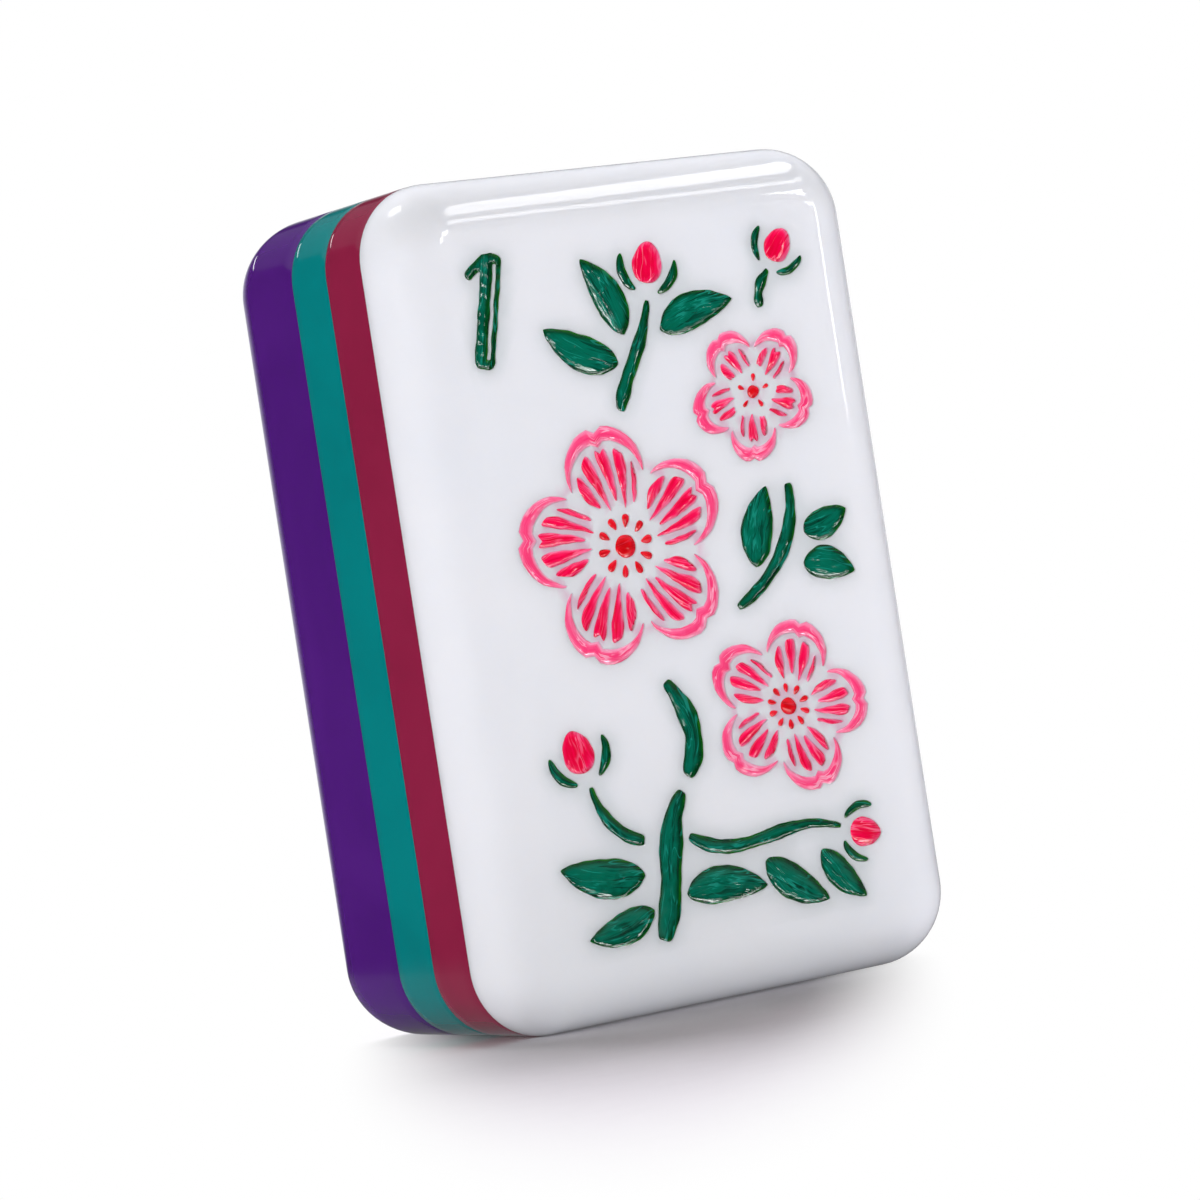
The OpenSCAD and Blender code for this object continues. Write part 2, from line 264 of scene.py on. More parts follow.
def strip(route, width_from, width_to):
    """A strip along a cubic curve of four points. Its half width changes evenly from end to end, is
    10% knotted twice on the way, and closes at blunt ends as (sin 180 u) to the 0.22."""
    t, v = cell_parameters(60, 12)
    u = (1 - np.cos(t)) / 2
    p = np.array(route)[:, None, None, :]
    w = u[..., None]
    middle = ((1 - w) ** 3 * p[0] + 3 * w * (1 - w) ** 2 * p[1] + 3 * w * w * (1 - w) * p[2]
              + w ** 3 * p[3])
    way = (1 - w) ** 2 * (p[1] - p[0]) + 2 * w * (1 - w) * (p[2] - p[1]) + w * w * (p[3] - p[2])
    way /= np.linalg.norm(way, axis=-1, keepdims=True)
    across = drawing(-way[..., 1], way[..., 0])
    half = (width_from + (width_to - width_from) * u) / 2 * (1 + 0.1 * np.sin(4 * np.pi * u))
    half = half * np.clip(np.sin(np.pi * u), 0, None) ** 0.22
    return picture_h * (middle + across * (half * v)[..., None])


def bud_drop(foot, direction, size):
    """A bud's drop: x is its size times 0.98 + cos t, z is 0.8 of its size times sin t and v."""
    t, v = cell_parameters(26, 16)
    r = size * picture_h
    x = r * (0.98 + np.cos(t))
    z = r * 0.8 * np.sin(t) * (1 - 0.2 * np.cos(t)) * v
    return placed(drawing(x, z), picture_h * np.array(foot), direction)


def sepal(foot, direction, size, side):
    """A curved sepal round the bud's foot: its angle goes 38 degrees to each side of 62, and its
    thickness is 0.48 of the bud's size times sin t, one ridge outside the drop."""
    t, v = cell_parameters(22, 8)
    r = size * picture_h
    out = 1.02 * r + ridge_w + 0.24 * r * (1 + np.sin(t) * v)
    points = polar(out, 180 - side * (62 + 38 * np.cos(t))) + np.array([0.98 * r, 0])
    return placed(points, picture_h * np.array(foot), direction)


# Where the motifs lie, as shares of the picture's height: place, radius, tilt, squash, strokes in a
# petal and dots in the ring
BLOSSOMS = {
    "large": ((-0.092, 0.058), 0.173, 8, 1.0, 5, 10),
    "middle": ((0.134, -0.202), 0.137, -20, 0.92, 4, 10),
    "small": ((0.156, 0.248), 0.108, 30, 0.9, 3, 5),
}
# A strip's four curve points, then its width at each end
TRUNK = [
    ([(-0.128, -0.495), (-0.088, -0.415), (-0.108, -0.35), (-0.062, -0.294)], 0.04, 0.034),
    ([(-0.05, -0.274), (-0.012, -0.226), (-0.034, -0.18), (-0.062, -0.138)], 0.034, 0.028),
]
TWIGS = [
    ([(-0.066, 0.246), (-0.05, 0.3), (-0.012, 0.33), (0.004, 0.396)], 0.026, 0.016),
    ([(0.076, -0.052), (0.13, -0.03), (0.196, 0.03), (0.19, 0.112)], 0.018, 0.024),
    ([(-0.062, -0.357), (0.02, -0.42), (0.1, -0.344), (0.19, -0.384)], 0.024, 0.015),
    ([(-0.134, -0.352), (-0.165, -0.345), (-0.198, -0.318), (-0.207, -0.266)], 0.022, 0.015),
    ([(0.19, 0.366), (0.186, 0.386), (0.196, 0.404), (0.212, 0.418)], 0.018, 0.014),
]
# A leaf's stalk end, direction in degrees, length, half width and bend
LOWER_LEAVES = [
    ((-0.142, -0.4), 168, 0.136, 0.028, 0.008),
    ((-0.136, -0.45), 193, 0.112, 0.023, 0.006),
    ((-0.08, -0.436), -4, 0.134, 0.026, 0.008),
    ((0.056, -0.412), -36, 0.12, 0.025, -0.006),
    ((0.152, -0.412), -50, 0.1, 0.021, -0.005),
]
SIDE_LEAVES = [
    ((0.196, -0.004), -14, 0.088, 0.024, 0.006),
    ((0.204, 0.04), 18, 0.082, 0.022, -0.004),
    ((0.116, 0.0), 72, 0.118, 0.026, 0.006),
]
UPPER_LEAVES = [
    ((-0.058, 0.312), 152, 0.128, 0.026, 0.008),
    ((-0.04, 0.352), 116, 0.124, 0.025, -0.008),
    ((0.018, 0.352), 14, 0.13, 0.026, 0.008),
]
# A bud's foot, direction in degrees and size
BUDS = [
    ((0.008, 0.42), 78, 0.03),
    ((0.22, 0.432), 52, 0.026),
    ((0.206, -0.392), -14, 0.026),
    ((-0.212, -0.244), 104, 0.031),
]


def blossom_cells(name):
    """One blossom's cells in three groups: petal rims, petal strokes, and the heart with its dots."""
    at, share, tilt, squash, strokes, dots = BLOSSOMS[name]
    radius = share * picture_h
    turns = [90 + 72 * petal for petal in range(5)]
    step = 2 * fan_half_angle / strokes
    starts = [radius * stroke_starts[j % 2] for j in range(strokes)]
    rims = [petal_rim(radius, turn) for turn in turns]
    fans = [petal_stroke(radius, (j + 0.5) * step - fan_half_angle, step / 2, starts[j], turn)
            for turn in turns for j in range(strokes)]
    ring = [heart_dot(radius, 90 + 360 * (k + 0.5) / dots) for k in range(dots)]
    groups = (rims, fans, [round_heart(radius)] + ring)
    centre = picture_h * np.array(at)
    return [[placed(cell, centre, tilt, squash) for cell in group] for group in groups]


def wave(points, x_rate, z_rate, phase):
    """A sine wave over the drawing, with its rates in radians a millimetre."""
    return np.sin(x_rate * points[..., 0] + z_rate * points[..., 1] + phase)


def hand_cut(points):
    """The engraver's unsteady hand: every point is moved aside and up by two slow waves each."""
    aside = broad_waver * wave(points, 7.1, 3.3, 0.4) + fine_waver * wave(points, -4.9, 11.3, 1.7)
    up = broad_waver * wave(points, -3.9, 6.7, 2.2) + fine_waver * wave(points, 10.9, 5.3, 0.9)
    return points + drawing(aside, up)


def turned_left(cell):
    """The cell with v reversed where needed, so that its outline runs with the enamel on its left."""
    return cell if doubled_area(outline_of(cell)) > 0 else cell[:, ::-1]


def outline_of(cell):
    """The closed outline: out along v = -1 from one end to the other, and back along v = 1."""
    return np.concatenate([cell[:-1, 0], cell[:0:-1, -1]])


def doubled_area(loop):
    """Twice the area inside a closed loop, above 0 where it runs anticlockwise."""
    x, z = loop.T
    return np.sum(x * np.roll(z, -1) - z * np.roll(x, -1))


def all_cells():
    """Every engraved cell by the node that it belongs to."""
    cells = {}
    for name in BLOSSOMS:
        rims, fans, heart = blossom_cells(name)
        cells[name + "_petal_rims"] = rims
        cells[name + "_petal_strokes"] = fans
        cells[name + "_blossom_heart"] = heart
    for node, make, rows in (("trunk_enamel", strip, TRUNK), ("twigs_enamel", strip, TWIGS),
                             ("lower_leaves_enamel", leaf, LOWER_LEAVES),
                             ("side_leaves_enamel", leaf, SIDE_LEAVES),
                             ("upper_leaves_enamel", leaf, UPPER_LEAVES),
                             ("buds_enamel", bud_drop, BUDS)):
        cells[node] = [make(*row) for row in rows]
    cells["bud_cups_enamel"] = [sepal(*row, side) for row in BUDS for side in (-1, 1)]
    return {node: [turned_left(hand_cut(cell)) for cell in group] for node, group in cells.items()}


# The numeral. Its upright's top left corner lies at the insets from the tile's own top left corner,
# and it leans round that corner by some degrees.

numeral_h = 4.1
upright_w = 0.8
upright_corner_r = 0.3
flag_reach = 0.62
flag_fall = 0.72
flag_w = 0.34
inline_w = 0.13
thin_stroke_w = 0.2
inline_stop = 0.36
numeral_lean = 14
numeral_inset_x = 3.5
numeral_inset_z = 2.75
numeral_point_gap = 0.055
numeral_floor_gap = 0.3
numeral_hollow = 0.09
numeral_slope_w = 0.3
numeral_calm_w = 0.12
numeral_ripple = 0.012
numeral_wave = 0.007
numeral_wave_length = 0.34


def stroke_bar(start, end, width, turn_steps=10, side_steps=24):
    """The outline of a straight stroke with round ends, with the stroke on its left."""
    start = np.array(start, float)
    run = np.array(end, float) - start
    length = np.hypot(*run)
    half_turn = np.linspace(-90, 90, turn_steps + 1)
    far = polar(width / 2, half_turn) + (length, 0)
    near = polar(width / 2, half_turn + 180)
    along = np.linspace(0, length, side_steps + 1)[1:-1]
    low = drawing(along, 0 * along - width / 2)
    high = drawing(along[::-1], 0 * along + width / 2)
    tilt = math.degrees(math.atan2(run[1], run[0]))
    return placed(np.concatenate([far, high, near, low]), start, tilt)


def rounded_rectangle(width, height, radius, turn_steps, high_steps, wide_steps):
    """A rounded rectangle round its middle, anticlockwise from its lower right corner: the centre that
    each point's corner arc turns round, which slides along the straight sides, and the direction
    outwards."""
    corners = np.array([(1, -1), (1, 1), (-1, 1), (-1, -1)]) * (width / 2 - radius, height / 2 - radius)
    centres = []
    directions = []
    for k, corner in enumerate(corners):
        steps = high_steps if k % 2 == 0 else wide_steps
        share = np.linspace(0, 1, steps + 1)[1:-1, None]
        centres.append(np.broadcast_to(corner, (turn_steps + 1, 2)))
        centres.append(corner + (corners[(k + 1) % 4] - corner) * share)
        directions.append(polar(1.0, np.linspace(-90, 0, turn_steps + 1) + 90 * k))
        directions.append(np.broadcast_to(polar(1.0, 90.0 * k), (steps - 1, 2)))
    return np.concatenate(centres), np.concatenate(directions)


def inside(points, loop):
    """Whether each point lies in a closed loop: an odd count of the loop's edges lie to its right."""
    x = points[:, 0][:, None]
    z = points[:, 1][:, None]
    x0, z0 = loop.T
    x1, z1 = np.roll(loop, -1, axis=0).T
    spans = (z0 > z) != (z1 > z)
    rise = np.where(z1 == z0, 1.0, z1 - z0)
    crossing = x0 + (z - z0) * (x1 - x0) / rise
    return np.sum(spans & (x < crossing), axis=1) % 2 == 1


def joined_outline(one, other, fillet=0.06):
    """The outline round two overlapping loops: each loop's points that lie outside the other one and
    clear of it, so that the corners between them are cut across as a round cutter leaves them."""
    parts = []
    for loop, rival in ((one, other), (other, one)):
        kept = ~inside(loop, rival) & (nearest(loop, rival) > fillet)
        first = np.flatnonzero(kept & ~np.roll(kept, 1))[0]
        parts.append(np.roll(loop, -first, axis=0)[np.roll(kept, -first)])
    return np.concatenate(parts)


def numeral_outlines():
    """The numeral's outer outline, and its inline ridge's outline with the enamel on its left."""
    centres, ways = rounded_rectangle(upright_w, numeral_h, upright_corner_r, 8, 40, 4)
    upright = centres + upright_corner_r * ways + (upright_w / 2, -numeral_h / 2)
    flag_from = np.array([flag_w / 2, -flag_w / 2])
    flag = stroke_bar(flag_from, flag_from + (-flag_reach, -flag_fall), flag_w)
    inline_x = upright_w - thin_stroke_w - inline_w / 2
    inline_low = inline_stop + inline_w / 2 - numeral_h
    inline_high = -inline_stop - inline_w / 2
    inline = stroke_bar((inline_x, inline_low), (inline_x, inline_high), inline_w, 8, 40)
    top_left = (numeral_inset_x - tile_w / 2, tile_h / 2 - numeral_inset_z)
    outer = placed(joined_outline(upright, flag), top_left, -numeral_lean)
    return hand_cut(outer), hand_cut(placed(inline, top_left, -numeral_lean))[::-1]


# Mesh making

def to_tile(points, depth):
    """Drawing points at a depth in millimetres behind the face, as places in the tile in metres."""
    depth = np.broadcast_to(depth, points.shape[:-1])
    return MM * np.stack([points[..., 0], depth - tile_d / 2, points[..., 1] + tile_h / 2], axis=-1)


def pushed_out(loop, distance):
    """A closed outline moved away from the enamel on its left by a distance."""
    way = np.roll(loop, -1, axis=0) - np.roll(loop, 1, axis=0)
    way /= np.linalg.norm(way, axis=1, keepdims=True)
    return loop + distance * drawing(way[:, 1], -way[:, 0])


def band(first, second):
    """Quads between two closed rings of vertex numbers."""
    return np.stack([first, np.roll(first, -1), np.roll(second, -1), second], axis=1)


def in_blocks(points, measure, block=400):
    """A measure of each point, worked out for a few hundred points at a time."""
    parts = np.array_split(points, max(1, len(points) // block))
    return np.concatenate([measure(part) for part in parts])


def nearest(points, targets):
    """Each point's distance to the nearest of the targets."""
    return in_blocks(points, lambda part: np.sqrt(((part[:, None] - targets[None]) ** 2).sum(-1).min(1)))


def make_piece(name, vertices, faces, material, values=None, drawn=None, crease=40):
    """A smooth-shaded mesh piece from whole arrays: vertices in metres, a list of face arrays, point
    values by name, and a drawn position for each vertex as its UV map."""
    mesh = bpy.data.meshes.new(name)
    corners = [corner for part in faces for corner in np.asarray(part).tolist()]
    mesh.from_pydata(vertices.tolist(), [], corners)
    mesh.shade_smooth()
    mesh.set_sharp_from_angle(angle=math.radians(crease))
    for label, numbers in (values or {}).items():
        layer = mesh.attributes.new(label, "FLOAT", "POINT")
        layer.data.foreach_set("value", np.asarray(numbers, np.float32))
    if drawn is not None:
        used = np.empty(len(mesh.loops), np.int32)
        mesh.loops.foreach_get("vertex_index", used)
        layer = mesh.uv_layers.new(name="drawn")
        layer.data.foreach_set("uv", drawn[used].astype(np.float32).ravel())
    mesh.materials.append(material)
    mesh.update()
    return in_scene(name, mesh)


def fitted(piece, node):
    """The piece stands for its CAD node, which it hides, and rides on the tile."""
    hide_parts(node)
    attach(piece, "root")


RING_CENTRES, RING_DIRECTIONS = rounded_rectangle(
    tile_w, tile_h, corner_r, corner_steps, long_side_steps, short_side_steps)


def ring_at(inset):
    """The tile's outline moved inwards by an inset, as drawing points."""
    return RING_CENTRES + (corner_r - inset) * RING_DIRECTIONS


def ring_sweep(profile, first=0, edge=None):
    """A profile of insets and depths carried round the tile: its vertices, its quads facing out, and
    the vertex numbers of its last ring. Where edge is given, the sweep starts from those vertices."""
    count = len(RING_CENTRES)
    vertices = np.concatenate([to_tile(ring_at(inset), depth) for inset, depth in profile])
    rings = list(first + np.arange(len(profile) * count).reshape(len(profile), count))
    if edge is not None:
        rings.insert(0, edge)
    quads = [band(rings[k + 1], rings[k]) for k in range(len(rings) - 1)]
    return vertices, np.concatenate(quads), rings[-1]


def flat_cap(outline, depth, edge, first, towards_back, shares=(0.9, 0.7, 0.45, 0.2)):
    """A flat end: smaller copies of the outline down to one point at its middle."""
    middle = outline.mean(axis=0)
    copies = [middle + share * (outline - middle) for share in shares]
    vertices = to_tile(np.concatenate(copies + [middle[None]]), depth)
    count = len(outline)
    rings = [edge] + [first + k * count + np.arange(count) for k in range(len(shares))]
    tip = np.full(count, first + len(shares) * count)
    quads = np.concatenate([band(rings[k], rings[k + 1]) for k in range(len(shares))])
    fan = np.stack([rings[-1], np.roll(rings[-1], -1), tip], axis=1)
    if towards_back:
        return vertices, [quads[:, ::-1], fan[:, ::-1]]
    return vertices, [quads, fan]


def bond_edge(depth, forwards):
    """The tiny softening of a polished edge where two layers meet, from the side to the bond plane."""
    way = 1 if forwards else -1
    near = 0.3 * bond_edge_r
    return [(0, depth - way * bond_edge_r), (near, depth - 0.3 * way * bond_edge_r), (bond_edge_r, depth)]


# The white face block

def floor_faces(numbers):
    """Faces over a cell's outline numbers: each row from edge v = -1 straight across to edge v = 1."""
    total = len(numbers)
    half = total // 2
    row = np.arange(1, half - 1)
    quads = numbers[np.stack([row, row + 1, total - row - 1, total - row], axis=1)]
    ends = numbers[np.array([[0, 1, total - 1], [half - 1, half, half + 1]])]
    return [quads, ends]


def points_between(low, high, gap):
    """Points of an even grid of a given gap inside a box, each odd row shifted by half a gap."""
    rows = np.arange(low[1], high[1], gap)
    x, z = np.meshgrid(np.arange(low[0], high[0], gap), rows)
    x = x + np.where(np.arange(len(rows)) % 2 == 1, gap / 2, 0)[:, None]
    points = drawing(x.ravel(), z.ravel())
    return points[(points < np.array(high)).all(axis=1)]


def triangulated(loops, extra, keep):
    """Triangles between closed loops and extra points. keep picks them by the loops that they lie in:
    it gets one set of loop numbers a triangle. Gives points, triangles and each loop's numbers."""
    stack = np.concatenate([*loops, extra])
    starts = np.cumsum([0] + [len(loop) for loop in loops])
    runs = [list(range(starts[k], starts[k + 1])) for k in range(len(loops))]
    faces = [run if doubled_area(loop) > 0 else run[::-1] for run, loop in zip(runs, loops)]
    found = delaunay_2d_cdt([Vector(point) for point in stack.tolist()], [], faces, 0, 1e-7)
    points = np.array([tuple(point) for point in found[0]])
    number_of = {given: number for number, given_ones in enumerate(found[3]) for given in given_ones}
    kept = [face for face, where in zip(found[2], found[5]) if keep(set(where))]
    triangles = np.array(kept)
    a, b, c = (points[triangles[:, k]] for k in range(3))
    turn = (b[:, 0] - a[:, 0]) * (c[:, 1] - a[:, 1]) - (b[:, 1] - a[:, 1]) * (c[:, 0] - a[:, 0])
    triangles = np.where((turn > 0)[:, None], triangles, triangles[:, ::-1])
    numbers = [np.array([number_of[given] for given in run]) for run in runs]
    return points, triangles, numbers


def numeral_region(gap):
    """The numeral's drawing filled with triangles: points, triangles, and its outlines' numbers."""
    outer, inline = numeral_outlines()
    grid = points_between(outer.min(axis=0), outer.max(axis=0), gap)
    clear = nearest(grid, np.concatenate([outer, inline])) > 0.55 * gap
    grid = grid[clear & inside(grid, outer) & ~inside(grid, inline)]
    return triangulated([outer, inline], grid, lambda where: where == {0})


def stain_and_shade(points, loops, reach, low, high):
    """A share from 0 to 1 at each point: colour that has crept into the sheet round the pink cells, and
    painted grey shade round the green ones. The outlines are summed up by length with the weight
    exp(-(distance / reach) squared): one straight edge gives 1 at the edge itself, and a ridge between
    two cells gives almost 2. The sum is eased between low and high."""
    ends = np.concatenate(loops)
    steps = [np.roll(loop, -1, axis=0) - np.roll(loop, 1, axis=0) for loop in loops]
    lengths = np.concatenate([np.linalg.norm(step, axis=1) / 2 for step in steps])
    sums = in_blocks(points, lambda part: (
        lengths * np.exp(-((part[:, None] - ends[None]) ** 2).sum(-1) / reach ** 2)).sum(1))
    share = np.clip((sums / (reach * math.sqrt(math.pi)) - low) / (high - low), 0, 1)
    return share * share * (3 - 2 * share)


def quarter_round(radius, steps):
    """Insets and depths down a quarter circle, from the flat face to the side."""
    turns = np.linspace(0, np.pi / 2, steps + 1)
    return [(radius * (1 - math.sin(turn)), radius * (1 - math.cos(turn))) for turn in turns]


def make_white_face(cells, material):
    """The face block: a flat sheet with a hole for each cell, a rolled lip and a pocket under each
    hole, the quarter-round front edge carried round the tile, and the flat bond face behind."""
    numeral_loops = list(numeral_outlines())
    loops = [outline_of(cell) for group in cells.values() for cell in group] + numeral_loops
    edge = ring_at(front_edge_r)
    sheet_loops = [edge] + [pushed_out(loop, lip_r + flat_margin) for loop in loops]
    grid = points_between(edge.min(axis=0), edge.max(axis=0), sheet_point_gap)
    grid = grid[nearest(grid, np.concatenate(sheet_loops)) > sheet_point_gap / 3]
    inline_number = len(loops)
    points, triangles, numbers = triangulated(
        sheet_loops, grid, lambda where: where == {0} or inline_number in where)

    pink = []
    green = []
    for node, group in cells.items():
        is_pink = "petal" in node or "heart" in node or node == "buds_enamel"
        (pink if is_pink else green).extend(outline_of(cell) for cell in group)
    near_pink = [stain_and_shade(points, pink, pink_creep, 1.05, 1.6)]
    # Painted shade: a grey share round the green cells and the numeral, laid on the white by its material
    green_painted_shade = [stain_and_shade(points, green + numeral_loops, green_shade_reach, 0.1, 1.6)]

    vertices = [to_tile(points, 0)]
    faces = [triangles]
    used = len(points)
    pocket = [*quarter_round(lip_r, 3), (0, pocket_depth)]
    floors = []
    for loop, outside in zip(loops, numbers[1:]):
        rings = [outside]
        for offset, depth in pocket:
            vertices.append(to_tile(pushed_out(loop, offset), depth))
            rings.append(used + np.arange(len(loop)))
            used += len(loop)
        faces += [band(rings[k], rings[k + 1]) for k in range(len(rings) - 1)]
        for near in (near_pink, green_painted_shade):
            near.append(np.tile(near[0][outside], len(pocket)))
        floors.append(rings[-1])
        if len(floors) <= len(loops) - len(numeral_loops):
            faces += floor_faces(rings[-1])

    floor_points, floor_triangles, outline_numbers = numeral_region(numeral_floor_gap)
    numbering = used + np.arange(len(floor_points))
    for outline, floor in zip(outline_numbers, floors[-2:]):
        numbering[outline] = floor
    vertices.append(to_tile(floor_points, pocket_depth))
    faces.append(numbering[floor_triangles])
    used += len(floor_points)

    profile = quarter_round(front_edge_r, rounding_steps)[1:] + bond_edge(face_t, True)
    skin, quads, back_ring = ring_sweep(profile, used, numbers[0])
    used += len(skin)
    cap, cap_faces = flat_cap(ring_at(bond_edge_r), face_t, back_ring, used, True)
    vertices += [skin, cap]
    faces += [quads, *cap_faces]
    total = sum(len(part) for part in vertices)
    stains_and_shade = {}
    for label, parts in (("near_pink", near_pink), ("green_painted_shade", green_painted_shade)):
        values = np.concatenate(parts)
        stains_and_shade[label] = np.concatenate([values, np.zeros(total - len(values))])
    return make_piece("white_face", np.concatenate(vertices), faces, material, stains_and_shade)


# The coloured layers behind the face

def make_layer(name, profile, material):
    """A layer of the laminate: its profile carried round the tile, and a flat cap at each end."""
    skin, quads, last = ring_sweep(profile)
    first = np.arange(len(RING_CENTRES))
    front_cap, front_faces = flat_cap(ring_at(profile[0][0]), profile[0][1], first, len(skin), False)
    used = len(skin) + len(front_cap)
    back_cap, back_faces = flat_cap(ring_at(profile[-1][0]), profile[-1][1], last, used, True)
    vertices = np.concatenate([skin, front_cap, back_cap])
    return make_piece(name, vertices, [quads, *front_faces, *back_faces], material)


def band_profile(start, end, steps=6):
    """Straight down the side between two bond planes, with both edges softened."""
    depths = np.linspace(start + bond_edge_r, end - bond_edge_r, steps + 1)[1:-1]
    return bond_edge(start, False)[::-1] + [(0, depth) for depth in depths] + bond_edge(end, True)


def back_profile(steps=14):
    """The purple block: the bond edge, a straight side, then a slow arc and a tight lip arc that meet
    on one tangent, so that the side rolls gently into the back and turns quickly at its rim."""
    lip_middle = back_edge_deep - back_lip_r
    slow_r = (back_edge_in ** 2 + lip_middle ** 2 - back_lip_r ** 2) / (2 * (back_edge_in - back_lip_r))
    meeting = math.atan2(lip_middle, slow_r - back_edge_in)
    slow = [(slow_r * (1 - math.cos(turn)), tile_d - back_edge_deep + slow_r * math.sin(turn))
            for turn in np.linspace(0, meeting, steps + 1)]
    lip = [(back_edge_in - back_lip_r * math.cos(turn), tile_d - back_lip_r * (1 - math.sin(turn)))
           for turn in np.linspace(meeting, math.pi / 2, steps + 1)[1:]]
    depths = np.linspace(back_from + bond_edge_r, tile_d - back_edge_deep, 5)[1:-1]
    return bond_edge(back_from, False)[::-1] + [(0, depth) for depth in depths] + slow + lip


# The enamel

def ripples(points):
    """Slow waves of the poured enamel, from -1 to 1: four crossed sines of about half a millimetre."""
    return (wave(points, 9.1, 4.7, 0.3) + wave(points, -6.1, 10.3, 1.9)
            + wave(points, 15.7, 2.9, 4.1) * 0.6 + wave(points, 7.3, 14.1, 2.6) * 0.6) / 3.2


def half_widths(cell):
    """Half of a cell's width, row by row."""
    return np.linalg.norm(cell[:, -1] - cell[:, 0], axis=-1)[:, None] / 2


def poured_depth(cell, sharpness, deepest, ripple):
    """How far the enamel's top lies behind the face: the edge depth, plus a hollow whose depth is a
    share of the row's half width times 1 - |v| to the sharpness, plus ripples that die out at the
    edges."""
    v = cell_parameters(cell.shape[0] - 1, cell.shape[1] - 1)[1]
    half = half_widths(cell)
    hollow = np.minimum(hollow_share * half, deepest) * (1 - np.abs(v) ** sharpness)
    fade = np.minimum(half / full_ripple_half_width, 1) * (1 - v ** 4)
    return enamel_edge_depth + hollow + ripple * fade * (1 + ripples(cell))


def end_to_end(field, column=0):
    """A cell's values in one list, with the given column's value alone for each of its two ends."""
    return np.concatenate([field[0, column][None], field[1:-1].reshape(-1, *field.shape[2:]),
                           field[-1, column][None]])


def filled_cell(cell, first, number, sharpness, deepest, ripple):
    """One closed deposit of enamel: its rippled top, a wall down the pocket and a flat underside. Gives
    its vertices, faces, thickness shares and drawn places in millimetres along and across the cell."""
    rows = cell.shape[0] - 1
    columns = cell.shape[1]
    outline = outline_of(cell)
    top_points = end_to_end(cell)
    top = to_tile(top_points, end_to_end(poured_depth(cell, sharpness, deepest, ripple)))
    numbers = np.empty((rows + 1, columns), int)
    numbers[0] = first
    numbers[1:-1] = first + 1 + np.arange((rows - 1) * columns).reshape(rows - 1, columns)
    numbers[-1] = first + 1 + (rows - 1) * columns
    body = numbers[1:-1]
    quads = np.stack([body[:-1, :-1], body[1:, :-1], body[1:, 1:], body[:-1, 1:]], axis=-1)
    start_fan = np.stack([numbers[0, 1:], body[0, :-1], body[0, 1:]], axis=-1)
    end_fan = np.stack([body[-1, :-1], numbers[-1, 1:], body[-1, 1:]], axis=-1)
    rim = outline_of(numbers)
    under = first + len(top_points) + np.arange(len(outline))
    underside = [part[:, ::-1] for part in floor_faces(under)]
    vertices = np.concatenate([top, to_tile(outline, pocket_depth)])
    faces = [quads.reshape(-1, 4), start_fan, end_fan, band(under, rim), *underside]

    steps = np.linalg.norm(np.diff(cell[:, columns // 2], axis=0), axis=1)
    run = np.concatenate([[0], np.cumsum(steps)])
    v = cell_parameters(rows, columns - 1)[1]
    places = drawing(run[:, None] + 0 * v, half_widths(cell) * v) + number * np.array(brush_shift)
    drawn = np.concatenate([end_to_end(places, columns // 2), np.zeros((len(outline), 2))])
    thick = np.clip(nearest(top_points, outline) / thick_at, 0, 1)
    return vertices, faces, np.concatenate([thick, np.zeros(len(outline))]), drawn


def make_enamel(name, group, material, sharpness, deepest, ripple):
    """All the deposits of one node's cells as one piece."""
    parts = []
    used = 0
    for number, cell in enumerate(group):
        parts.append(filled_cell(cell, used, number, sharpness, deepest, ripple))
        used += len(parts[-1][0])
    vertices, faces, thick, drawn = zip(*parts)
    return make_piece(name, np.concatenate(vertices), [face for few in faces for face in few], material,
                      {"thick": np.concatenate(thick)}, np.concatenate(drawn))


def make_numeral(material):
    """The numeral's deposit: triangles between its outlines, hollowed by 1 - (1 - s) to the fourth,
    where s is the distance from the nearest outline over the slope's width, with the same ripples as
    the picture and a small wave along the stroke."""
    points, triangles, (outer, inline) = numeral_region(numeral_point_gap)
    distance = nearest(points, np.concatenate([points[outer], points[inline]]))
    share = np.clip(distance / numeral_slope_w, 0, 1)
    fade = np.clip(distance / numeral_calm_w, 0, 1)
    lean = math.radians(90 - numeral_lean)
    along = points[:, 0] * math.cos(lean) + points[:, 1] * math.sin(lean)
    across = points[:, 0] * math.sin(lean) - points[:, 1] * math.cos(lean)
    hollow = numeral_hollow * (1 - (1 - share) ** 4)
    waves = numeral_wave * fade * (1 + np.sin(2 * np.pi * along / numeral_wave_length + 3 * across))
    depth = enamel_edge_depth + hollow + numeral_ripple * fade * (1 + ripples(points)) + waves
    count = len(points)
    vertices = np.concatenate([to_tile(points, depth), to_tile(points, pocket_depth)])
    faces = [triangles, triangles[:, ::-1] + count]
    faces += [band(rim + count, rim) for rim in (outer, inline)]
    thick = np.concatenate([np.clip(distance / thick_at, 0, 1), np.zeros(count)])
    drawn = drawing(along, across)
    return make_piece("numeral_fill", vertices, faces, material, {"thick": thick},
                      np.concatenate([drawn, drawn]))


# Shader building

def feed(tree, socket, value):
    """A link into a node's socket where the value is a socket too, and its own value otherwise."""
    if isinstance(value, bpy.types.NodeSocket):
        tree.links.new(value, socket)
    else:
        socket.default_value = value


def add(tree, kind, at=None, **fields):
    """A new node. A field named after an input feeds it, and any other sets the node's own value."""
    node = tree.nodes.new(kind)
    for name, value in fields.items():
        label = name.replace("_", " ").lower()
        socket = next((s for s in node.inputs if s.name.lower() == label and s.enabled), None)
        if socket is None:
            setattr(node, name, value)
        else:
            feed(tree, socket, value)
    for number, value in (at or {}).items():
        feed(tree, node.inputs[number], value)
    return node


